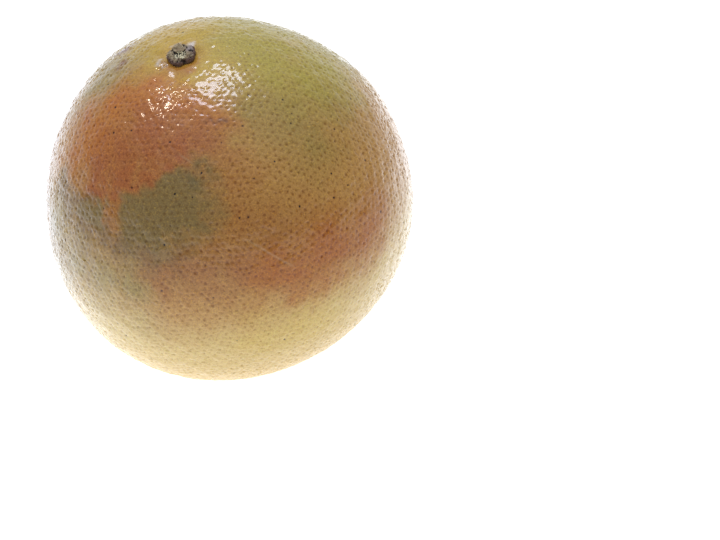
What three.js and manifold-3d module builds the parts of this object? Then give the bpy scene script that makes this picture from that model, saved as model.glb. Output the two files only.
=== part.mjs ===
// A whole ripe grapefruit, as it rests on the small flat spot under it. Two solids:
//   fruit  the whole fruit in its peel: nearly round, with a shallow basin round the stem end,
//          a small dent at the blossom end and a few low, broad swellings
//   calyx  the dried, five-lobed button that stays in the basin when the fruit is picked,
//          with the broken stump of the stalk in its middle
// Millimetres, +Z up. The origin lies on the resting plane, under the middle of the fruit.
// The fruit leans: its own axis, from blossom end to stem end, is tipped away from +Z.
import * as THREE from "three";
import { mergeVertices } from "three/addons/utils/BufferGeometryUtils.js";
import Module from "manifold-3d";

const wasm = await Module();
wasm.setup();

const degree = Math.PI / 180;

// Driving dimensions
const meanRadius = 52.2; // the fruit before its swellings
const polarFlattening = 0.012; // how much shorter than wide it is, as a share of the radius
const lean = { tilt: 14.8 * degree, heading: -149.8 * degree }; // heading is measured from +X
const restingSink = 0.6; // how deep the round underside is flattened where it rests

// Broad, low swellings of the whole body, placed round the fruit's own axis.
const swellings = [
  { longitude: -5, latitude: -18, rise: 1.75, spread: 38 },
  { longitude: 112, latitude: 53, rise: 1.75, spread: 38 },
  { longitude: -147, latitude: -30, rise: 1.75, spread: 38 },
  { longitude: -81, latitude: 36, rise: 1.0, spread: 40 },
  { longitude: 99, latitude: -36, rise: 1.0, spread: 40 },
  { longitude: 24, latitude: 19, rise: 0.9, spread: 18 },
];

const stemBasin = { depth: 1.5, reach: 7.5 };
const stemCollar = { rise: 0.35, radius: 6.2, width: 1.8 }; // the peel puffs up round the calyx
const blossomDent = { depth: 0.9, reach: 4.5 };
const stemRibs = { count: 7, depth: 0.22, start: 7, end: 34 }; // faint creases; start and end in mm

const calyxShape = {
  gap: 0.35, // left free between the calyx and the peel
  discRadius: 3.65,
  lobeCount: 5,
  lobeReach: 0.45, // how far a lobe stands out past the disc
  longLobe: { bearing: 100 * degree, reach: 0.5, spread: 0.5 }, // one lobe is longer; spread in radians
  lobesStart: 0.4, // share of the reach past which the outline is lobed
};
// Half of the calyx's section, from the middle of its underside to the middle of its top: distance
// out as a share of its reach, and height over its underside in mm. A lip stands round the pith.
const calyxSection = [
  [0, 0],
  [0.35, 0],
  [0.7, 0],
  [0.89, 0],
  [1, 0.45],
  [0.985, 1.15],
  [0.9, 1.7],
  [0.76, 1.9],
  [0.55, 1.75],
  [0.41, 1.75],
  [0.35, 2.05],
  [0.28, 2.05],
  [0.22, 1.65],
  [0, 1.65],
];

const fruitGrid = { around: 76, rings: 56, crowding: 0.3 };
const calyxSegments = 40;

// A direction in the fruit's own frame, stem end at +Z, from longitude and latitude in degrees.
function ownDirection(longitude, latitude) {
  const [lon, lat] = [longitude * degree, latitude * degree];
  return new THREE.Vector3(Math.cos(lat) * Math.cos(lon), Math.cos(lat) * Math.sin(lon), Math.sin(lat));
}

const stemDirection = new THREE.Vector3(
  Math.sin(lean.tilt) * Math.cos(lean.heading),
  Math.sin(lean.tilt) * Math.sin(lean.heading),
  Math.cos(lean.tilt),
);
const leaning = new THREE.Quaternion().setFromUnitVectors(new THREE.Vector3(0, 0, 1), stemDirection);

const bump = (distance, width) => Math.exp(-((distance / width) ** 2));

function smoothStep(from, to, value) {
  const t = THREE.MathUtils.clamp((value - from) / (to - from), 0, 1);
  return t * t * (3 - 2 * t);
}

// Distance from the fruit's centre to its skin along a direction: a slightly flattened sphere,
// plus the swellings, less the basin at the stem end and the dent at the blossom end.
function skinRadius(direction) {
  const polar = Math.acos(THREE.MathUtils.clamp(direction.z, -1, 1));
  const longitude = Math.atan2(direction.y, direction.x);
  const fromStem = meanRadius * polar;
  const fromBlossom = meanRadius * (Math.PI - polar);
  let radius = meanRadius * (1 - polarFlattening * direction.z ** 2);
  for (const swelling of swellings) {
    const middle = ownDirection(swelling.longitude, swelling.latitude);
    radius += swelling.rise * bump(direction.angleTo(middle), swelling.spread * degree);
  }
  radius -= stemBasin.depth * bump(fromStem, stemBasin.reach);
  radius += stemCollar.rise * bump(fromStem - stemCollar.radius, stemCollar.width);
  radius -= blossomDent.depth * bump(fromBlossom, blossomDent.reach);
  const ribbed =
    smoothStep(2, stemRibs.start, fromStem) * (1 - smoothStep(stemRibs.start, stemRibs.end, fromStem));
  radius -= stemRibs.depth * ribbed * (0.5 + 0.5 * Math.cos(stemRibs.count * longitude));
  return radius;
}

// Conversions for the boolean
function toSolid(geometry) {
  const bare = geometry.clone();
  bare.deleteAttribute("normal");
  bare.deleteAttribute("uv");
  const merged = mergeVertices(bare, 1e-4);
  return new wasm.Manifold(
    new wasm.Mesh({
      numProp: 3,
      vertProperties: merged.attributes.position.array,
      triVerts: new Uint32Array(merged.index.array),
    }),
  );
}

function toGeometry(solid) {
  const mesh = solid.getMesh();
  const geometry = new THREE.BufferGeometry();
  geometry.setAttribute("position", new THREE.BufferAttribute(mesh.vertProperties, 3));
  geometry.setIndex(new THREE.BufferAttribute(mesh.triVerts, 1));
  geometry.computeVertexNormals();
  return geometry;
}

// A ring's angle from the stem end, with the rings crowded towards both ends for the basin.
const ringAngle = (share) => Math.PI * share - fruitGrid.crowding * Math.sin(2 * Math.PI * share);

function buildFruit() {
  const profile = [];
  for (let ring = 0; ring <= fruitGrid.rings; ring++) {
    const polar = Math.PI - ringAngle(ring / fruitGrid.rings);
    const onAxis = ring === 0 || ring === fruitGrid.rings;
    profile.push(new THREE.Vector2(onAxis ? 0 : Math.sin(polar), Math.cos(polar)));
  }
  const geometry = new THREE.LatheGeometry(profile, fruitGrid.around);
  geometry.rotateX(Math.PI / 2); // the lathe's axis is Y, the fruit's own is Z
  const place = geometry.getAttribute("position");
  const point = new THREE.Vector3();
  for (let i = 0; i < place.count; i++) {
    point.fromBufferAttribute(place, i).normalize();
    point.multiplyScalar(skinRadius(point));
    place.setXYZ(i, point.x, point.y, point.z);
  }
  return geometry;
}

// How far the calyx reaches from its middle at a bearing: a disc, five lobes, one of them longer.
function calyxReach(bearing) {
  const { discRadius, lobeCount, lobeReach, longLobe } = calyxShape;
  const lobes = lobeReach * (0.5 + 0.5 * Math.cos(lobeCount * (bearing - longLobe.bearing)));
  const away = Math.atan2(Math.sin(bearing - longLobe.bearing), Math.cos(bearing - longLobe.bearing));
  return discRadius + lobes + longLobe.reach * bump(away, longLobe.spread);
}

// The section is carried round the calyx. Its underside follows the peel at each bearing.
function buildCalyx() {
  const { gap, discRadius, lobesStart } = calyxShape;
  const profile = calyxSection.map(([share, height]) => new THREE.Vector2(share, height));
  const geometry = new THREE.LatheGeometry(profile, calyxSegments);
  geometry.rotateX(Math.PI / 2);
  const place = geometry.getAttribute("position");
  const point = new THREE.Vector3();
  for (let i = 0; i < place.count; i++) {
    point.fromBufferAttribute(place, i);
    const share = Math.hypot(point.x, point.y);
    const bearing = Math.atan2(point.y, point.x);
    const lobed = smoothStep(lobesStart, 1, share);
    const out = share * THREE.MathUtils.lerp(discRadius, calyxReach(bearing), lobed);
    const polar = out / meanRadius;
    const direction = new THREE.Vector3(Math.cos(bearing), Math.sin(bearing), 0)
      .multiplyScalar(Math.sin(polar))
      .setZ(Math.cos(polar));
    const peelHeight = skinRadius(direction) * direction.z;
    place.setXYZ(i, out * Math.cos(bearing), out * Math.sin(bearing), peelHeight + gap + point.z);
  }
  return geometry;
}

// Resting pose
const fruitLeaning = buildFruit().applyQuaternion(leaning);
fruitLeaning.computeBoundingBox();
const extent = fruitLeaning.boundingBox;
const standing = new THREE.Vector3(
  -(extent.min.x + extent.max.x) / 2,
  -(extent.min.y + extent.max.y) / 2,
  -extent.min.z - restingSink,
);
fruitLeaning.translate(standing.x, standing.y, standing.z);

const slabSize = 4 * meanRadius;
const underTheSurface = new THREE.BoxGeometry(slabSize, slabSize, slabSize).translate(0, 0, -slabSize / 2);
const restingFruit = toGeometry(toSolid(fruitLeaning).subtract(toSolid(underTheSurface)));

const peelFinish = new THREE.MeshStandardMaterial({ color: 0xc78a45, roughness: 0.42, metalness: 0 });
const calyxFinish = new THREE.MeshStandardMaterial({ color: 0x5f5546, roughness: 0.85, metalness: 0 });

const fruit = new THREE.Mesh(restingFruit, peelFinish);
fruit.name = "fruit";

const calyx = new THREE.Mesh(buildCalyx(), calyxFinish);
calyx.name = "calyx";
calyx.quaternion.copy(leaning);
calyx.position.copy(standing);

const grapefruit = new THREE.Group();
grapefruit.add(fruit, calyx);
export default grapefruit;
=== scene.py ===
import math

import bpy
import numpy as np
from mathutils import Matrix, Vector


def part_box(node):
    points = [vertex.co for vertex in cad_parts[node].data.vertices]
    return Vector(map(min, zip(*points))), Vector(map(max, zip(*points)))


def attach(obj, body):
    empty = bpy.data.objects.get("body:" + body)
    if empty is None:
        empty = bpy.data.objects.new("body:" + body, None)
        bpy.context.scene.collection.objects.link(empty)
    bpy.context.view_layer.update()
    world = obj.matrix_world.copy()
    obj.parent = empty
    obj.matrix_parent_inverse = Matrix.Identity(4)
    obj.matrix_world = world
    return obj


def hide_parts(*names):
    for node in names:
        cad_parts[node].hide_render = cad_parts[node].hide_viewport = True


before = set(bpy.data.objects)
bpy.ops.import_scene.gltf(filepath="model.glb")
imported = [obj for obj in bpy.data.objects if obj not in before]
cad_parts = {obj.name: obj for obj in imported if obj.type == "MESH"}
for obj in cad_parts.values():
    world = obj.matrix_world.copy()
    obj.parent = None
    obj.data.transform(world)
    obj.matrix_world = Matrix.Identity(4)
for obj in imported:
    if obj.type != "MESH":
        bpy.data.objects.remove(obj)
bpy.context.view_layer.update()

print("frame loaded, with the nodes", ", ".join(sorted(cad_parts)))

millimetre = 0.001


# Shader maths. A Shade wraps one socket, so that sums on shades add their own Math nodes.
class Shade:
    def __init__(self, tree, socket=None):
        self.tree = tree
        self.socket = socket

    def node(self, kind, settings=None, sockets=None, output=0):
        made = self.tree.nodes.new("ShaderNode" + kind)
        for name, value in (settings or {}).items():
            setattr(made, name, value)
        for name, value in (sockets or {}).items():
            if isinstance(value, Shade):
                self.tree.links.new(value.socket, made.inputs[name])
            else:
                made.inputs[name].default_value = value
        return Shade(self.tree, made.outputs[output] if made.outputs else None)

    def math(self, operation, *values):
        return self.node("Math", {"operation": operation}, dict(enumerate(values)))

    def __add__(self, other):
        return self.math("ADD", self, other)

    def __sub__(self, other):
        return self.math("SUBTRACT", self, other)

    def __mul__(self, other):
        return self.math("MULTIPLY", self, other)

    def __rsub__(self, other):
        return self.math("SUBTRACT", other, self)

    __radd__ = __add__
    __rmul__ = __mul__

    def clamped(self):
        return self.node("Clamp", {}, {"Value": self})

    def between(self, low, high):                 # soft step: 0 below low, 1 above high
        settings = {"interpolation_type": "SMOOTHSTEP"}
        return self.node("MapRange", settings, {"Value": self, "From Min": low, "From Max": high})

    def mixed(self, under, over, blend="MIX"):    # self is the share of the second colour
        settings = {"data_type": "RGBA", "blend_type": blend}
        sockets = {0: self, 6: under, 7: over}
        return self.node("Mix", settings, sockets, output=2)

    def attribute(self, name):
        return self.node("Attribute", {"attribute_name": name}, output="Fac")

    def place(self):
        return self.node("TexCoord", output="Object")

    def along(self, place, heading):              # how far a place lies along a heading
        return self.node("VectorMath", {"operation": "DOT_PRODUCT"}, {0: place, 1: heading}, "Value")

    def noise(self, place, width, detail=2.0):    # width is that of one cloud, in mm
        sockets = {"Vector": place, "Scale": 1 / (width * millimetre), "Detail": detail}
        return self.node("TexNoise", {}, sockets, output="Fac")


def startFinish(name):
    material = bpy.data.materials.new(name)
    material.use_nodes = True
    material.node_tree.nodes.clear()
    return material, Shade(material.node_tree)


def endFinish(shade, constants, varying):
    surface = shade.node("BsdfPrincipled", {}, {**constants, **varying})
    shade.node("OutputMaterial", {}, {"Surface": surface})


def tint(red, green, blue):                       # a colour as picked on a screen, 0 to 255 each
    def linear(part):
        part /= 255
        return part / 12.92 if part <= 0.04045 else ((part + 0.055) / 1.055) ** 2.4
    return (linear(red), linear(green), linear(blue), 1.0)


# Whole-array helpers for directions and heights
def ownDirection(longitude, latitude):            # degrees round the fruit's own axis, stem end at +Z
    lon, lat = np.radians(longitude), np.radians(latitude)
    return np.stack([np.cos(lat) * np.cos(lon), np.cos(lat) * np.sin(lon), np.sin(lat)], axis=-1)


def unit(vectors):
    return vectors / np.linalg.norm(vectors, axis=-1, keepdims=True)


def bump(distance, width):                        # exp(-(distance / width)^2)
    return np.exp(-(distance / width) ** 2)


def smoothStep(low, high, value):                 # 3t^2 - 2t^3, with t from 0 at low to 1 at high
    t = np.clip((value - low) / (high - low), 0, 1)
    return t * t * (3 - 2 * t)


def angleTo(directions, middle):                  # degrees between many directions and one
    return np.degrees(np.arccos(np.clip(directions @ middle, -1, 1)))


# Cloudy field, about -1 to 1: the sum of plane waves of about one length in random headings.
def waves(points, length, seed, count=24):
    draw = np.random.default_rng(seed)
    headings = unit(draw.normal(size=(count, 3))) * draw.uniform(0.7, 1.4, (count, 1))
    phases = draw.uniform(0, 2 * math.pi, count)
    total = np.cos(points @ headings.T * (2 * math.pi / length) + phases).sum(axis=1)
    return total / math.sqrt(count)


# Smooth curve through a few points: between two of them, the cubic whose slope at each is half the
# step from its neighbour before to its neighbour after.
def curveThrough(points, count):
    points = np.array(points, dtype=float)
    ends = np.concatenate([2 * points[:1] - points[1:2], points, 2 * points[-1:] - points[-2:-1]])
    along = np.linspace(0, len(points) - 1 - 1e-9, count)
    start = along.astype(int)
    t = (along - start)[:, None]
    before, a, b, after = [ends[start + k] for k in range(4)]
    bend = 2 * before - 5 * a + 4 * b - after
    twist = 3 * (a - b) + after - before
    return a + 0.5 * t * (b - before + t * (bend + t * twist))


# Faces of a closed shape whose rows of points run round an axis, and whose first and last rows
# are single points. The rows have the same number of points and go from pole to pole.
def facesRound(rows, around):
    ring = np.arange(around)
    onwards = (ring + 1) % around
    first = 1 + np.arange(rows - 3)[:, None] * around
    corners = [first + ring, first + onwards, first + around + onwards, first + around + ring]
    quads = np.stack(corners, axis=-1)
    last = 1 + (rows - 2) * around
    under = np.stack([np.zeros_like(ring), 1 + onwards, 1 + ring], axis=-1)
    over = np.stack([np.full_like(ring, last), last - around + ring, last - around + onwards], axis=-1)
    return quads.reshape(-1, 4).tolist() + under.tolist() + over.tolist()


def poled(grid):                                  # its first and last rows each become one point
    inner = grid[1:-1].reshape(-1, *grid.shape[2:])
    return np.concatenate([grid[:1].mean(axis=1), inner, grid[-1:].mean(axis=1)])


def makePiece(name, points, faces, attributes, finish):
    mesh = bpy.data.meshes.new(name)
    mesh.from_pydata(points * millimetre, [], faces)
    mesh.polygons.foreach_set("use_smooth", np.ones(len(faces), dtype=bool))
    for label, values in attributes.items():
        mesh.attributes.new(label, "FLOAT", "POINT").data.foreach_set("value", values.astype(np.float32))
    mesh.materials.append(finish)
    mesh.validate()
    mesh.update()
    piece = bpy.data.objects.new(name, mesh)
    bpy.context.scene.collection.objects.link(piece)
    return piece


# The body of the fruit, in millimetres, round its own axis
fruitForm = {
    "meanRadius": 52.2,
    "polarFlattening": 0.012,
    "leanTilt": 14.8,                             # degrees from upright, towards leanHeading from +X
    "leanHeading": -149.8,
    "swellings": [                                # longitude, latitude, rise in mm, spread in degrees
        (-5, -18, 1.75, 38),
        (112, 53, 1.75, 38),
        (-147, -30, 1.75, 38),
        (-81, 36, 1.0, 40),
        (99, -36, 1.0, 40),
        (24, 19, 0.9, 18),
    ],
    "basinDepth": 1.5, "basinReach": 7.5,
    "collarRise": 0.35, "collarRadius": 6.2, "collarWidth": 1.8,
    "dentDepth": 0.9, "dentReach": 4.5,
    "ribCount": 7, "ribDepth": 0.22, "ribStart": 7, "ribEnd": 34,
}


# Distance from centre to skin: a sphere, flattened by a share of z squared, plus a bump for each
# swelling and for the collar, less bumps for the basin, the blossom dent and faint cosine ribs.
def skinRadius(directions):
    form = fruitForm
    polar = np.arccos(np.clip(directions[..., 2], -1, 1))
    longitude = np.arctan2(directions[..., 1], directions[..., 0])
    fromStem = form["meanRadius"] * polar
    fromBlossom = form["meanRadius"] * (math.pi - polar)
    radius = form["meanRadius"] * (1 - form["polarFlattening"] * directions[..., 2] ** 2)
    for lon, lat, rise, spread in form["swellings"]:
        radius += rise * bump(angleTo(directions, ownDirection(lon, lat)), spread)
    radius -= form["basinDepth"] * bump(fromStem, form["basinReach"])
    radius += form["collarRise"] * bump(fromStem - form["collarRadius"], form["collarWidth"])
    radius -= form["dentDepth"] * bump(fromBlossom, form["dentReach"])
    ribbed = smoothStep(2, form["ribStart"], fromStem)
    ribbed *= 1 - smoothStep(form["ribStart"], form["ribEnd"], fromStem)
    return radius - form["ribDepth"] * ribbed * (0.5 + 0.5 * np.cos(form["ribCount"] * longitude))


def leaningMatrix():                              # the shortest turn that takes +Z to the stem's heading
    tilt, heading = math.radians(fruitForm["leanTilt"]), math.radians(fruitForm["leanHeading"])
    across = math.sin(tilt)
    towards = Vector((across * math.cos(heading), across * math.sin(heading), math.cos(tilt)))
    return np.array(Vector((0, 0, 1)).rotation_difference(towards).to_matrix())


leaning = leaningMatrix()


# Where the fruit's own centre lies in the frame, in mm: its bare skin just reaches the node's box
# at the top, and is as far from it on the left as on the right, and in front as behind.
def findCentre():
    low, high = [np.array(corner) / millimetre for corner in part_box("fruit")]
    directions = ownDirection(*np.meshgrid(np.arange(0, 360, 1), np.arange(-90, 91, 1))).reshape(-1, 3)
    skin = directions * skinRadius(directions)[:, None] @ leaning.T
    centre = (low + high - skin.min(axis=0) - skin.max(axis=0)) / 2
    centre[2] = high[2] - skin[:, 2].max()
    return centre


fruitCentre = findCentre()
print("the fruit's centre in mm:", fruitCentre.round(2))


# The skin is a ball of ten diamond patches, each a square grid of two parameters a and b. A point
# on a patch is its corners' directions, each weighted by the sine of its share of the edge angle.
# Every third grid point in both ways holds an oil gland, with six grid points round it.
peelForm = {
    "cells": 96,                                  # along a patch's edge, a multiple of three
    "stray": 0.95,                                # mm a gland may stray from its place in the grid
    "nearest": 1.45,                              # mm between glands, below which they push apart
    "pushRounds": 25, "pushShare": 0.3,
    "rimShare": 0.8,                              # of a grid step, from a gland to the rim of its pit
    "pitDepth": 0.24, "pitSizes": (0.2, 1.35),    # mm, and the shares of it that a pit may have
    "domeRise": 0.1,                              # mm, of the skin midway between three glands
    "poredFrom": 5, "poredTo": 13,                # mm from the stem end, where the pits set in
    "lumps": [(14, 0.05), (6, 0.05), (3.1, 0.06), (2.2, 0.015)],     # length and height in mm
    "foldBearing": 196, "foldSpread": 0.5,        # degrees and radians, of the folds beside the calyx
    "foldCount": 17, "foldRise": 0.3,             # to a whole turn, and mm
    "foldStart": 4, "foldEnd": 9,                 # mm from the stem end
    "collarFrom": 4, "collarTo": 10,              # mm from the stem end, where its colour, partly painted shade, fades out
    "wander": [(9, 31, 0.025), (3, 34, 0.012)],   # how marks stray: length in mm, seed and share
}


# Each patch is two triangles of an icosahedron, given by its four corners in turn. The two meet on
# the line from its second corner to its fourth.
def diamonds():
    ring = math.degrees(math.atan(0.5))           # latitude of the ball's two rings of corners
    top, bottom = ownDirection(0, 90), ownDirection(0, -90)
    upper = [ownDirection(72 * k, ring) for k in range(6)]
    lower = [ownDirection(72 * k + 36, -ring) for k in range(6)]
    caps = [(top, upper[k], lower[k], upper[k + 1]) for k in range(5)]
    feet = [(upper[k + 1], lower[k], bottom, lower[k + 1]) for k in range(5)]
    return caps + feet


# All ten grids as one mesh, with the points that patches share merged into one. Each point has a
# home, its nearest gland, and belongs to it unless it is midway between three.
def peelGrid():
    cells = peelForm["cells"]
    steps = np.arange(cells + 1)
    i, j = [values.ravel() for values in np.meshgrid(steps, steps, indexing="ij")]
    a, b = i / cells, j / cells
    near = a + b <= 1                             # the half of the diamond at its first corner
    shares = np.stack([
        np.where(near, 1 - a - b, 0),
        np.where(near, a, 1 - b),
        np.where(near, 0, a + b - 1),
        np.where(near, b, 1 - a),
    ], axis=1)
    weights = np.sin(np.clip(shares, 0, 1) * math.atan(2))
    directions = np.concatenate([unit(weights @ np.array(corners)) for corners in diamonds()])

    offI, offJ = (i + 1) % 3 - 1, (j + 1) % 3 - 1       # steps from the nearest gland
    home = (i - offI) * (cells + 1) + (j - offJ)
    square = (i * (cells + 1) + j).reshape(cells + 1, cells + 1)
    glands = square[::3, ::3]
    pairs = [(glands[:-1], glands[1:]), (glands[:, :-1], glands[:, 1:])]
    pairs.append((glands[1:, :-1], glands[:-1, 1:]))
    links = np.concatenate([np.stack(pair, axis=-1).reshape(-1, 2) for pair in pairs])
    first = np.stack([square[:-1, :-1], square[1:, :-1], square[:-1, 1:]], axis=-1)
    second = np.stack([square[1:, :-1], square[1:, 1:], square[:-1, 1:]], axis=-1)
    faces = np.concatenate([first.reshape(-1, 3), second.reshape(-1, 3)])

    patch = np.arange(10)[:, None]
    faces = (faces[None] + patch[..., None] * len(i)).reshape(-1, 3)
    links = (links[None] + patch[..., None] * len(i)).reshape(-1, 2)
    home = (home[None] + patch * len(i)).ravel()
    belongs = np.tile(offI * offJ < 1, 10)        # False midway between three glands
    isGland = np.tile((offI == 0) & (offJ == 0), 10)

    keys = np.round(directions * 1e5).astype(np.int64)
    _, kept, merged = np.unique(keys, axis=0, return_index=True, return_inverse=True)
    merged = merged.ravel()
    links = np.unique(np.sort(merged[links], axis=1), axis=0)
    return directions[kept], merged[faces], merged[home][kept], belongs[kept], isGland[kept], links


def summed(slots, values, count):                 # the values added up slot by slot, for each column
    return np.stack([np.bincount(slots, column, count) for column in values.T], axis=1)


# Glands stray at random over the skin, then push apart where a link between two is too short.
def scatterGlands(places, links):
    draw = np.random.default_rng(7)
    count = len(places)
    headings = unit(draw.normal(size=places.shape))
    spots = places + headings * draw.uniform(0.2, 1, (count, 1)) * peelForm["stray"]
    for _ in range(peelForm["pushRounds"]):
        along = spots[links[:, 1]] - spots[links[:, 0]]
        length = np.linalg.norm(along, axis=1, keepdims=True)
        push = along / length * np.clip(peelForm["nearest"] - length, 0, None) * peelForm["pushShare"]
        spots += summed(links[:, 1], push, count) - summed(links[:, 0], push, count)
    return spots - places


# A few times over, each point that isn't held moves a share of the way to its neighbours' mean.
def relaxed(values, faces, held, share, rounds):
    corner, near = faces.T[[0, 1, 2, 0, 1, 2]].ravel(), faces.T[[1, 2, 0, 2, 0, 1]].ravel()
    pull = np.where(held, 0, share)[:, None] / np.bincount(corner, minlength=len(values))[:, None]
    for _ in range(rounds):
        values = values + pull * summed(corner, values[near] - values[corner], len(values))
    return values


# Share of a blotch at each direction: 1 inside its spots, falling softly to 0 at their edges.
def blotch(directions, spots):
    share = np.zeros(len(directions))
    for lon, lat, radius, edge in spots:
        away = angleTo(directions, ownDirection(lon, lat))
        share = np.maximum(share, 1 - smoothStep(radius - edge, radius + edge, away))
    return share


peelMarks = {                                     # spots as longitude, latitude, radius, edge in degrees
    "gold": [(0, 90, 17, 10), (110, 73, 22, 12), (70, 63, 16, 12), (150, 67, 16, 12)],
    "olive": [(-38, 51, 14, 13), (-50, 57, 9, 10), (-40, 40, 9, 12), (-16, 43, 12, 12),
              (-86, 57, 5, 8), (170, 64, 12, 10), (60, 31, 22, 16), (130, 21, 20, 16)],
    "green": [(14, 64, 17, 12), (-10, 62, 13, 12), (6, 46, 14, 12), (-12, 52, 10, 11), (40, 55, 18, 12),
              (22, 40, 14, 14), (110, 41, 14, 12)],
    "ember": [(-128, 71, 10, 7), (-102, 69, 8, 7), (-154, 65, 9, 8), (-88, 67, 6, 7), (-166, 54, 7, 8),
              (-150, 53, 10, 8), (-80, 61, 6, 8), (-160, 45, 7, 8), (94, 7, 18, 18)],
    "blush": [(-128, 53, 9, 9), (-112, 55, 9, 8), (-98, 56, 8, 8), (-138, 45, 7, 7), (-124, 45, 7, 5),
              (-86, 55, 6, 8), (-116, 61, 9, 8), (-127, 38, 5, 5), (-112, 46, 5, 5), (-102, 49, 5, 5),
              (-138, 39, 6, 4), (62, 13, 15, 15)],
    "dusk": [(-156, 32, 6, 5), (-148, 31, 6, 5), (-141, 31, 6, 4), (-131, 28, 5, 4),
             (-122, 25, 5, 4), (-152, 28, 6, 6), (-112, 22, 5, 5), (-140, 24, 6, 6),
             (-103, 20, 5, 5)],
    "sage": [(-132, 12, 9, 9), (-120, 13, 6, 7), (-146, 13, 10, 10), (-158, 20, 10, 10),
             (-158, 4, 12, 12), (-138, -2, 8, 10), (170, 0, 14, 12), (-122, -4, 6, 10)],
    # russet; its last two spots, just below the calyx, are painted shadow
    "russetAndShade": [(-96, 18, 8, 8), (-84, 17, 9, 9), (-108, 17, 6, 7), (-90, 24, 5, 7), (-80, 29, 8, 13),
               (-72, 23, 8, 12), (-78, 41, 6, 12), (-76, 51, 3, 10), (-127, 33, 3, 3), (-90, 84.5, 3, 2),
               (-120, 84.5, 3, 2)],
    "amber": [(-74, 11, 7, 8), (-68, 7, 8, 8), (-66, 1, 8, 5), (-56, 9, 11, 10), (-42, 1, 12, 12)],
    "straw": [(-81, 9, 5, 8), (-83, -2, 6, 8), (-84, -12, 7, 8), (-70, -14, 10, 10), (-64, -2, 8, 10)],
    "lemon": [(-90, -78, 74, 12), (-160, -38, 34, 12), (-24, -38, 34, 12), (-135, -29, 32, 14),
              (20, -44, 32, 14), (122, -48, 34, 14)],
    "stain": [(-119, 36, 4.5, 2), (-113, 38, 4.5, 2), (-107, 40, 5, 2), (-101, 43, 5, 2),
              (-94, 43, 5, 3), (-90, 41, 4, 5), (-89, 36, 4, 5), (-97, 36, 6, 3), (-104, 34, 6, 3),
              (-112, 31, 6, 3), (-118, 30, 5, 3), (-93, 31, 4, 6), (-100, 28, 4, 6), (-109, 26, 4, 6),
              (-117, 25, 4, 6), (-92, 47, 3, 4), (-137, 32, 4, 3), (-134, 34, 3.5, 2),
              (-133, 30, 3.5, 2.5), (-142, 30, 3, 2), (150, 19, 3, 5), (154, 12, 2, 5),
              (48, -11, 1.5, 4), (0, -90, 2.5, 2)],
    "knot": [(-91, 45, 3, 3.5), (20, 28, 2, 1.5)],
    "bruise": [(-78, 61, 1, 1), (-73, 60, 1.1, 1), (138, 63, 2, 1.5), (160, 70, 1.6, 2),
               (-95, 7, 0.8, 0.6), (75, -19, 2, 1.5), (0, -90, 1.2, 0.8)],
    # painted highlight: pale glint patches on the puffed folds beside the calyx
    "paintedGlint": [(50, 84.8, 1.5, 0.7), (68, 84.8, 1.2, 0.6), (33, 85.1, 0.8, 0.6), (122, 84, 0.8, 0.7),
              (196, 83, 1, 1), (184, 84, 0.6, 0.8)],
    "scarred": [(-78, 22, 4, 1.5), (-74, 17, 4, 1.5), (-70, 12, 4, 1.5), (-97, 52, 4, 1.5),
                (100, 26, 6, 2)],
}

# Dark specks, as longitude and latitude: each blackens the gland nearest to it.
peelSpecks = {
    "placed": [(-44, 54), (-37, 50), (-25, 37), (-27, 36), (-42, 39), (-58, 40), (-69, 40), (-44, 28),
               (-40, 22), (-46, 21), (-59, 26), (-102, 41), (-103, 32), (-101, 58), (-94, 20), (-94, 7),
               (-92, -10), (-76, 29), (-27, 69), (-5, 70), (-76, 52), (-152, 64), (-110, 12), (-61, 55),
               (-28, 22), (-97, 7), (-95, 39), (-47, 63), (-88, 46), (-92, 46)],
    "scattered": 90,
}

# Thin pale scars, each on the plane through the fruit's centre and two of its directions
peelScars = [((-81, 25), (-68, 9)), ((-99, 54), (-91, 49))]


# Strength of a speck at each direction: a draw from 0.5 to 1 at the gland nearest to each, else 0.
def speckle(directions, isGland, draw):
    spots = ownDirection(*np.array(peelSpecks["placed"]).T)
    spots = np.concatenate([spots, unit(draw.normal(size=(peelSpecks["scattered"], 3)))])
    glands = np.flatnonzero(isGland)
    share = np.zeros(len(directions))
    share[glands[(directions[glands] @ spots.T).argmax(axis=0)]] = draw.uniform(0.5, 1, len(spots))
    return share


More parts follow.
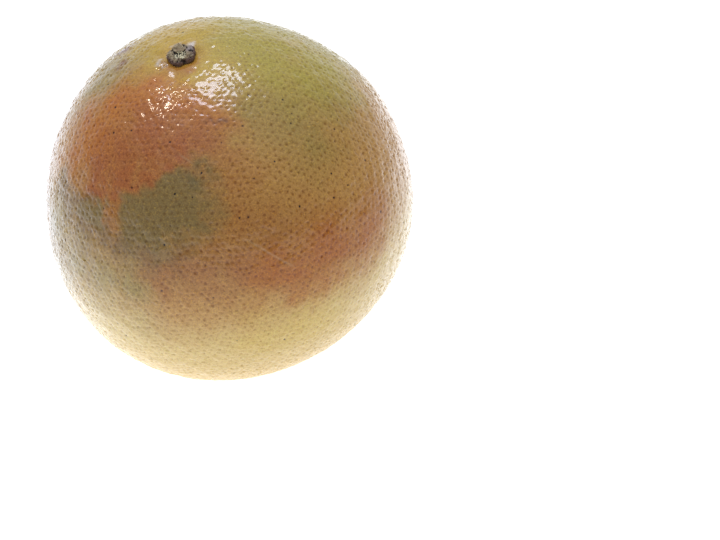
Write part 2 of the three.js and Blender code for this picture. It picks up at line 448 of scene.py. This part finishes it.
# The peel is the skin plus a height: down at each gland, up midway between three, a cosine of the
# bearing for the folds and cloudy fields of four lengths. It goes no lower than the ground.
def buildPeel():
    form = peelForm
    radius = fruitForm["meanRadius"]
    regular, faces, home, belongs, isGland, links = peelGrid()
    draw = np.random.default_rng(8)
    shift = scatterGlands(regular * radius, links)[home] / radius
    shift += (regular[home] - regular) * (1 - form["rimShare"])
    shift = relaxed(shift, faces, belongs, 1, 1)  # points midway between glands
    shift = relaxed(shift, faces, isGland, 0.4, 2)      # and then all but the glands
    directions = unit(regular + shift)

    # Size and tone of each pit, and height over the skin
    low, high = form["pitSizes"]
    size = draw.uniform(low, high, len(regular))[home]
    tone = draw.uniform(0, 1, len(regular))[home]
    dome = draw.uniform(-0.3, 1, len(regular))
    onSkin = directions * radius
    fromStem = radius * np.radians(angleTo(directions, np.array([0, 0, 1])))
    pored = smoothStep(form["poredFrom"], form["poredTo"], fromStem)
    height = np.where(isGland, -form["pitDepth"] * size, 0) * pored
    bearing = np.arctan2(directions[:, 1], directions[:, 0]) - math.radians(form["foldBearing"])
    folded = bump(np.arctan2(np.sin(bearing), np.cos(bearing)), form["foldSpread"])
    folded *= smoothStep(form["foldStart"], form["foldStart"] + 1, fromStem)
    folded *= 1 - smoothStep(form["foldEnd"] - 3, form["foldEnd"], fromStem)
    pleat = folded * np.cos(form["foldCount"] * bearing + waves(onSkin, 5, 45))
    height += form["foldRise"] * pleat
    height += np.where(belongs, 0, form["domeRise"] * dome)
    for seed, (length, rise) in enumerate(form["lumps"]):
        height += rise * waves(onSkin, length, 20 + seed)
    points = directions * (skinRadius(directions) + height)[:, None] @ leaning.T + fruitCentre
    points[:, 2] = np.maximum(points[:, 2], 0)

    # Marks are looked up in directions that wander, so that their edges are cloudy
    wandering = directions
    for length, seed, share in form["wander"]:
        astray = np.stack([waves(onSkin, length, seed + axis) for axis in range(3)], axis=1)
        wandering = wandering + share * astray
    wandering = unit(wandering)
    attributes = {label: blotch(wandering, spots) for label, spots in peelMarks.items()}
    attributes["gland"] = np.where(isGland, 1, belongs * draw.uniform(0, 0.4, len(regular))) * pored
    attributes["pored"] = pored
    attributes["folded"] = folded
    attributes["pleat"] = pleat
    attributes["tone"] = tone
    attributes["stemwards"] = 1 - smoothStep(form["collarFrom"], form["collarTo"], fromStem)
    attributes["speck"] = speckle(directions, isGland, draw)
    return makePiece("peel", points, faces, attributes, peelFinish())


peelLook = {
    "ground": tint(218, 162, 88),
    "gold": tint(216, 176, 62),
    "olive": tint(181, 151, 79),
    "green": tint(190, 173, 70),
    "ember": tint(208, 125, 48),
    "blush": tint(188, 110, 58),
    "dusk": tint(146, 104, 36),
    "sage": tint(185, 158, 88),
    # russet, which also serves as painted shadow just below the calyx
    "russetAndShade": tint(193, 128, 63),
    "amber": tint(199, 116, 30),
    "lemon": tint(250, 217, 143),
    "stain": tint(152, 126, 74),
    "knot": tint(128, 112, 68),
    "bruise": tint(150, 100, 62),
    # partly the collar's own orange-brown, partly painted shade round the foot of the calyx
    "collar": tint(196, 142, 58),
    "scarPale": tint(226, 190, 140),
    # painted highlight, for the glint patches and for the crests of the folds
    "paintedGlint": tint(250, 236, 230),
    # painted shade, for the hollows of the folds
    "pleat": tint(128, 88, 50),
    "speckDark": tint(40, 28, 18),
    "poreDark": tint(200, 178, 128),              # multiplies the colour round it, and so does straw
    "straw": tint(255, 252, 224),
    "finePale": tint(255, 236, 200), "grainPale": tint(255, 240, 190),
    "cloudWidth": 5, "fineWidth": 1.2,            # mm, of the mottling
    "grainWidth": 0.45, "prickWidth": 1.3,        # mm, of the grain and pinpricks between the glands
    "crumpleWidth": 0.7,                          # mm, of the rough skin on folds and on the painted glint patches
    # How much fainter the dark dots are on some marks
    "fainter": {"lemon": 0.5, "stain": 0.3, "blush": 0.25, "green": 0.3, "gold": 0.4},
    "roughness": 0.3, "coatRoughness": 0.12,
    "bumpStrength": 0.8, "bumpDistance": 0.12,    # share, mm
}


def peelFinish():
    look = peelLook
    material, shade = startFinish("waxyPeel")
    place = shade.place()
    gland, tone = shade.attribute("gland"), shade.attribute("tone")
    cloud = shade.noise(place, look["cloudWidth"], detail=4)
    fine = shade.noise(place, look["fineWidth"], detail=3)
    grain = shade.noise(place, look["grainWidth"])
    mottle = 0.5 * cloud + 0.5 * fine

    # Patches of colour, each over the ones before it
    colour = look["ground"]
    for name in ("gold", "olive", "green", "ember", "blush", "dusk", "sage", "russetAndShade", "amber", "lemon",
                 "stain", "knot", "bruise"):
        share = (shade.attribute(name) * (0.7 + 0.6 * mottle)).clamped()
        colour = share.mixed(colour, look[name])
    colour = shade.attribute("straw").mixed(colour, look["straw"], "MULTIPLY")
    # Round the calyx: the collar's own orange-brown, partly painted shade at the calyx's foot
    colour = (0.5 * shade.attribute("stemwards")).mixed(colour, look["collar"])

    # Painted shade in the hollows of the folds, and painted highlight on their crests and on the rough
    # glint patches
    pleat = shade.attribute("pleat")
    colour = (0.6 * (0 - pleat).between(0.1, 0.6)).mixed(colour, look["pleat"])
    pale = shade.attribute("paintedGlint") + 0.6 * pleat.between(0.3, 0.8)
    colour = (0.85 * pale).clamped().mixed(colour, look["paintedGlint"])

    # Dark dots: the glands, each by its tone, and pinpricks between them
    dot = (gland + 0.3 * (fine - 0.5)).between(0.0, 0.8) * (0.3 + 0.6 * tone)
    scale = 1 / (look["prickWidth"] * millimetre)
    cells = shade.node("TexVoronoi", {}, {"Vector": place, "Scale": scale}, "Distance")
    prick = (1 - cells.between(0.1, 0.3)) * shade.attribute("pored")
    dot = dot.math("MAXIMUM", dot, 0.6 * prick)
    for name, loss in look["fainter"].items():
        dot = dot * (1 - loss * shade.attribute(name))
    colour = dot.mixed(colour, look["poreDark"], "MULTIPLY")

    # Fine light and dark grain
    colour = (0.2 * fine).mixed(colour, look["finePale"], "SOFT_LIGHT")
    colour = grain.between(0.5, 0.8).mixed(colour, look["grainPale"], "SOFT_LIGHT")
    colour = (0.5 * (1 - grain.between(0.25, 0.5))).mixed(colour, look["poreDark"], "MULTIPLY")

    # Scars, each a thin line where the skin meets its plane, and then the specks
    scarred = shade.attribute("scarred")
    for first, second in peelScars:
        across = unit(np.cross(ownDirection(*first), ownDirection(*second))) @ leaning.T
        off = shade.along(place, across) - float(fruitCentre @ across) * millimetre
        off = off + (cloud - 0.5) * 0.6 * millimetre
        beside = off.math("ABSOLUTE", off).between(0.1 * millimetre, 0.5 * millimetre)
        colour = (0.5 * scarred * (1 - beside) * fine).mixed(colour, look["scarPale"])
    speck = (shade.attribute("speck") + 0.3 * (fine - 0.5)).between(0.3, 0.65)
    colour = speck.mixed(colour, look["speckDark"])

    # Fine relief: dots are sunk, and the folds and the painted glint patches are crumpled
    rough = shade.attribute("folded") + 1.5 * shade.attribute("paintedGlint")
    relief = 0.2 * fine - 0.6 * dot + 2 * rough * shade.noise(place, look["crumpleWidth"])
    bumps = {"Strength": look["bumpStrength"], "Distance": look["bumpDistance"] * millimetre}
    normal = shade.node("Bump", {}, {**bumps, "Height": relief})
    constants = {"IOR": 1.33, "Coat Weight": 1.0, "Coat Roughness": look["coatRoughness"]}
    varying = {"Base Color": colour, "Roughness": look["roughness"] + 0.1 * fine, "Normal": normal}
    endFinish(shade, constants, varying)
    return material


peel = buildPeel()
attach(peel, "root")
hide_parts("fruit")
print("peel made:", len(peel.data.polygons), "faces")

# The dried calyx: a button of five rough lobes, the hindmost domed, round a sunken pith of pale ridges
calyxForm = {
    "discRadius": 3.65, "gap": 0.35,              # mm, and mm over the peel
    "lobeCount": 5, "lobeReach": 0.45, "lobesStart": 0.4,
    "longBearing": 100, "longReach": 0.5, "longSpread": 0.5,
    "section": [                                  # share of the reach, mm over the calyx's underside
        (0, -0.9), (0.5, -0.9), (0.85, -0.95), (0.97, -0.5), (1.02, 0.3), (1, 0.95),
        (0.94, 1.45), (0.84, 1.75), (0.7, 1.85), (0.5, 1.8), (0.3, 1.7), (0.15, 1.65), (0, 1.65),
    ],
    "around": 240, "along": 110,
    "domeRise": 0.35, "domeEdgeDepth": 0.25,
    "domeAt": (-0.3, 2.0), "domeReach": 2.2,      # mm from the stem, along the fruit's own x and y
    "pithDepth": 0.4,
    "pithAt": (-0.1, -1.3), "pithReach": 2.0,
    "ridgeRise": 0.35, "ridgeWidth": 0.6,
    "creaseDepth": 0.45, "creaseWidth": 0.26, "creaseWaver": 0.9,
    "creaseReach": (0.42, 0.75),                  # share of the reach, where the creases set in
    "nearCreases": 0.3,                           # share of their depth at the front
    "domeEdgeWidth": 0.2, "pithEdge": (0.8, 1.05),      # mm, and shares of the pith's reach
    "topHeight": (1, 1.4), "wallHeight": (1.1, 1.75),   # mm, where the top sets in, and where the wall's painted shade fades
    "flapBearing": 12, "flapSpread": 0.5,
    "wrinkles": [(1.7, 0.13), (0.8, 0.1), (0.42, 0.06)],        # length and height in mm
}


# Reach of the calyx at a bearing: a disc, a raised cosine for the lobes and a bump for the long one.
def calyxReach(bearing):
    form = calyxForm
    long = math.radians(form["longBearing"])
    away = np.arctan2(np.sin(bearing - long), np.cos(bearing - long))
    lobes = form["lobeReach"] * (0.5 + 0.5 * np.cos(form["lobeCount"] * (bearing - long)))
    return form["discRadius"] + lobes + form["longReach"] * bump(away, form["longSpread"])


# The section is carried round the stem at the reach of each bearing, on top of the peel's own
# height there. Then each point moves along its normal: out at the dome, in at the creases between
# lobes and over the pith, out at the pith's ridges, and either way by cloudy fields of three lengths.
def buildCalyx():
    form = calyxForm
    section = curveThrough(form["section"], form["along"])
    share, height = section[:, :1], section[:, 1:]
    bearing = np.linspace(0, 2 * math.pi, form["around"], endpoint=False)[None, :]
    lobed = smoothStep(form["lobesStart"], 1, share)
    out = share * (form["discRadius"] * (1 - lobed) + calyxReach(bearing) * lobed)
    towards = ownDirection(np.degrees(bearing), 90 - np.degrees(out / fruitForm["meanRadius"]))
    peelHeight = skinRadius(towards) * towards[..., 2]
    up = peelHeight + form["gap"] + height
    points = np.stack([out * np.cos(bearing), out * np.sin(bearing), up], axis=-1)

    wrapped = np.concatenate([points[:, -1:], points, points[:, :1]], axis=1)
    across = wrapped[:, 2:] - wrapped[:, :-2]
    upright = np.array([0, 0, 1e-6])              # gives the two poles a normal
    normals = unit(np.cross(across, np.gradient(points, axis=0)) + upright)
    flat = points.reshape(-1, 3)

    def field(length, seed):
        return waves(flat, length, seed).reshape(out.shape)

    def away(at):
        return np.hypot(flat[:, 0] - at[0], flat[:, 1] - at[1]).reshape(out.shape)

    # Creases run between the lobes, waver a little and are faintest in front
    half = math.radians(form["longBearing"] + 180 / form["lobeCount"])
    turned = form["lobeCount"] * (bearing - half) + form["creaseWaver"] * field(2.2, 41)
    off = np.arccos(np.cos(turned)) / form["lobeCount"]
    crease = bump(off * out, form["creaseWidth"]) * smoothStep(*form["creaseReach"], share)
    near = 1 - smoothStep(-0.6, 0.4, np.sin(bearing))
    crease *= 1 - (1 - form["nearCreases"]) * near

    # The dome, the pith and its ridges lie on the top, and their edges waver too
    top = smoothStep(*form["topHeight"], height) * np.ones_like(out)
    fromDome = away(form["domeAt"]) - form["domeReach"] - 0.15 * field(1.3, 46)
    domeEdge = bump(fromDome, form["domeEdgeWidth"]) * top
    fromPith = away(form["pithAt"]) / form["pithReach"] + 0.12 * field(1.2, 42)
    pith = (1 - smoothStep(*form["pithEdge"], fromPith)) * top
    ridge = bump(field(1.1, 43), form["ridgeWidth"]) * pith

    # Wrinkles are strongest on the outside and weakest in the pith
    rough = smoothStep(0.05, 0.4, share) * smoothStep(-0.7, 0.4, height)
    move = form["domeRise"] * bump(away(form["domeAt"]), form["domeReach"]) * top
    move += form["ridgeRise"] * ridge - form["pithDepth"] * pith - form["domeEdgeDepth"] * domeEdge
    move -= form["creaseDepth"] * crease * (1 - pith) * smoothStep(-0.2, 0.8, height)
    for seed, (length, rise) in enumerate(form["wrinkles"]):
        move += rise * field(length, 50 + seed) * (0.35 + 0.65 * rough) * (1 - 0.6 * pith)
    points = points + normals * move[..., None]

    flap = np.arccos(np.cos(bearing - math.radians(form["flapBearing"])))
    # the creases and the dome's edge are marked, where shade is painted
    attributes = {"pith": pith, "ridge": ridge, "hollowShade": np.maximum(crease * (1 - pith) * top, domeEdge),
                  "shadedWall": 1 - smoothStep(*form["wallHeight"], height + 0.2 * field(1.5, 44)),
                  "flap": bump(flap, form["flapSpread"]) * smoothStep(0.35, 0.6, share), "rise": move}
    placed = poled(points) @ leaning.T + fruitCentre
    values = {name: poled(grid) for name, grid in attributes.items()}
    faces = facesRound(form["along"], form["around"])
    return makePiece("driedCalyx", placed, faces, values, huskFinish())


calyxLook = {
    "husk": tint(162, 141, 108),
    "dusty": tint(196, 179, 148),
    "flap": tint(184, 172, 174),
    # painted shade on the calyx's lower side wall
    "shadedWall": tint(124, 100, 92),
    # painted shade, for hollows, creases and the sunken pith
    "hollowShade": tint(32, 24, 24),
    "pith": tint(244, 234, 198),
    "cloudWidth": 1.4, "grainWidth": 0.35,        # mm
    "roughness": 0.8,
    "bumpStrength": 0.7, "bumpDistance": 0.15,    # share, mm
}


def huskFinish():
    look = calyxLook
    material, shade = startFinish("driedHusk")
    place = shade.place()
    cloud = shade.noise(place, look["cloudWidth"], detail=4)
    grain = shade.noise(place, look["grainWidth"], detail=3)
    colour = cloud.between(0.35, 0.7).mixed(look["husk"], look["dusty"])
    colour = (0.8 * shade.attribute("flap")).mixed(colour, look["flap"])
    # Painted shade on the lower side wall
    colour = (shade.attribute("shadedWall") * (0.75 + 0.4 * cloud)).clamped().mixed(colour, look["shadedWall"])

    # Painted shade: hollows and creases are darkened, and so is the sunken pith between its pale ridges
    low = (0.5 - 2.2 * shade.attribute("rise") + 0.8 * (grain - 0.5)).between(0.55, 1.1)
    colour = (0.75 * low).mixed(colour, look["hollowShade"])
    colour = shade.attribute("hollowShade").between(0.25, 0.8).mixed(colour, look["hollowShade"])
    colour = shade.attribute("pith").between(0.2, 0.7).mixed(colour, look["hollowShade"])
    colour = shade.attribute("ridge").between(0.25, 0.65).mixed(colour, look["pith"])
    bumps = {"Strength": look["bumpStrength"], "Distance": look["bumpDistance"] * millimetre}
    normal = shade.node("Bump", {}, {**bumps, "Height": grain})
    varying = {"Base Color": colour, "Roughness": look["roughness"] + 0.1 * grain, "Normal": normal}
    endFinish(shade, {"IOR": 1.4}, varying)
    return material


calyx = buildCalyx()
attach(calyx, "root")
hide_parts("calyx")
print("calyx made:", len(calyx.data.polygons), "faces")

# Floor, light and camera
studio = {
    "floorSize": 6.0, "floorColour": (0.9, 0.9, 0.9, 1),
    "floorSeen": 0.9,                             # the least light of its own that the camera sees
    "glow": 0.26, "rearGlow": 0.74,               # the floor's own light, and what it gains behind
    "glowAt": (0.08, 0.15, 0), "glowReach": (0.18, 0.45),
    "glowTurn": 20, "glowStart": (-0.12, 0.07),
    "backdrop": 0.48,                             # brightness of the white behind and beside the fruit
    "backdropTurn": -5,                           # degrees its middle lies from +Y towards -X
    "backdropReach": (0.15, 0.95),                # where it sets in and is full, along that heading
    "front": 0.20,                                # and of the darker room on the camera's side
    "lowBackdrop": 0.35, "lowFront": 0.1,         # what each gains low down, next to the floor
    "lowReach": (0.05, 0.55),
    "zenith": 0.4, "zenithReach": (0.4, 1),       # what both gain high overhead
    "leftTint": (0.84, 0.93, 1.06, 1),            # colour of the light that comes from the left
    "leftReach": (0, 0.45), "leftFloor": (0, 0.12),
    "softboxAt": (-0.08, 0.27, 0.92), "softboxSize": (0.3, 0.25),
    "softboxPower": 2.4, "softboxTint": (0.74, 0.81, 1),
    "lampAt": (-0.48, 0.20, 0.90), "lampSize": (0.08, 0.08),      # a small one, for the sparkles
    "lampPower": 0.85, "lampTint": (1, 0.88, 0.72),
}


# The floor's own light is even in front and gains behind, by a soft step across the fruit and a
# soft fall with distance from one spot. The camera sees all of it as near white.
def layFloor():
    half = studio["floorSize"] / 2 / millimetre
    corners = np.array([(-half, -half, 0), (half, -half, 0), (half, half, 0), (-half, half, 0)])
    material, shade = startFinish("paleFloor")
    surface = shade.node("BsdfDiffuse", {}, {"Color": studio["floorColour"]})
    place = shade.place()
    turn = math.radians(studio["glowTurn"])
    behind = shade.along(place, (-math.sin(turn), math.cos(turn), 0)).between(*studio["glowStart"])
    away = shade.node("VectorMath", {"operation": "DISTANCE"}, {0: place, 1: studio["glowAt"]}, "Value")
    strength = behind * (1 - away.between(*studio["glowReach"])) * studio["rearGlow"] + studio["glow"]
    seen = shade.node("LightPath", output="Is Camera Ray")
    strength = strength.math("MAXIMUM", strength, studio["floorSeen"] * seen)
    left = shade.along(place, (-1, 0, 0)).between(*studio["leftFloor"])
    colour = (left * (1 - seen)).mixed((1, 1, 1, 1), studio["leftTint"])
    glow = shade.node("Emission", {}, {"Color": colour, "Strength": strength})
    both = shade.node("AddShader", {}, {0: surface, 1: glow})
    shade.node("OutputMaterial", {}, {"Surface": both})
    return makePiece("floor", corners, [(0, 1, 2, 3)], {}, material)


# The room is white behind and dimmer in front, by a soft step along the heading of its middle. Low
# down and overhead each gains by a soft step in height. The camera sees plain white.
def lightWorld():
    world = bpy.data.worlds.new("whiteStudio")
    bpy.context.scene.world = world
    world.use_nodes = True
    world.node_tree.nodes.clear()
    shade = Shade(world.node_tree)
    heading = shade.node("TexCoord", output="Generated")
    turn = math.radians(studio["backdropTurn"])
    middle = (-math.sin(turn), math.cos(turn), 0)
    height = shade.along(heading, (0, 0, 1))
    low = 1 - height.between(*studio["lowReach"])
    share = shade.along(heading, middle).between(*studio["backdropReach"])
    back = studio["backdrop"] + studio["lowBackdrop"] * low
    front = studio["front"] + studio["lowFront"] * low
    zenith = studio["zenith"] * height.between(*studio["zenithReach"])
    strength = share * back + (1 - share) * front + zenith
    seen = shade.node("LightPath", output="Is Camera Ray")
    strength = strength.math("MAXIMUM", strength, seen)
    left = shade.along(heading, (-1, 0, 0)).between(*studio["leftReach"])
    colour = (left * (1 - seen)).mixed((1, 1, 1, 1), studio["leftTint"])
    light = shade.node("Background", {}, {"Color": colour, "Strength": strength})
    shade.node("OutputWorld", {}, {"Surface": light})


def aimed(thing, at, target):
    thing.location = at
    thing.rotation_euler = (Vector(target) - Vector(at)).to_track_quat("-Z", "Y").to_euler()
    bpy.context.scene.collection.objects.link(thing)
    return thing


def hangLight(name, middle):
    light = bpy.data.lights.new(name, "AREA")
    light.shape = "RECTANGLE"
    light.size, light.size_y = studio[name + "Size"]
    light.energy = studio[name + "Power"]
    light.color = studio[name + "Tint"]
    aimed(bpy.data.objects.new(name, light), studio[name + "At"], middle)


cameraRig = {
    "lens": 120, "sensor": 36,                    # millimetres
    "distance": 0.700, "elevation": 30,           # metres, degrees
    "yaw": 3.64, "pitch": -31.745,                # where it aims, so that the fruit sits up and left
}


def setCamera(middle):
    rig = cameraRig
    camera = bpy.data.cameras.new("camera")
    camera.lens = rig["lens"]
    camera.sensor_width = rig["sensor"]
    rise = math.radians(rig["elevation"])
    at = middle + Vector((0, -math.cos(rise), math.sin(rise))) * rig["distance"]
    yaw, pitch = math.radians(rig["yaw"]), math.radians(rig["pitch"])
    level = math.cos(pitch)
    ahead = Vector((math.sin(yaw) * level, math.cos(yaw) * level, math.sin(pitch)))
    bpy.context.scene.camera = aimed(bpy.data.objects.new("camera", camera), at, at + ahead)


floor = layFloor()
lightWorld()
fruitMiddle = Vector(fruitCentre * millimetre)
hangLight("softbox", fruitMiddle)
hangLight("lamp", fruitMiddle)
setCamera(fruitMiddle)
bpy.context.scene.view_settings.view_transform = "Standard"
print("floor, light and camera set")
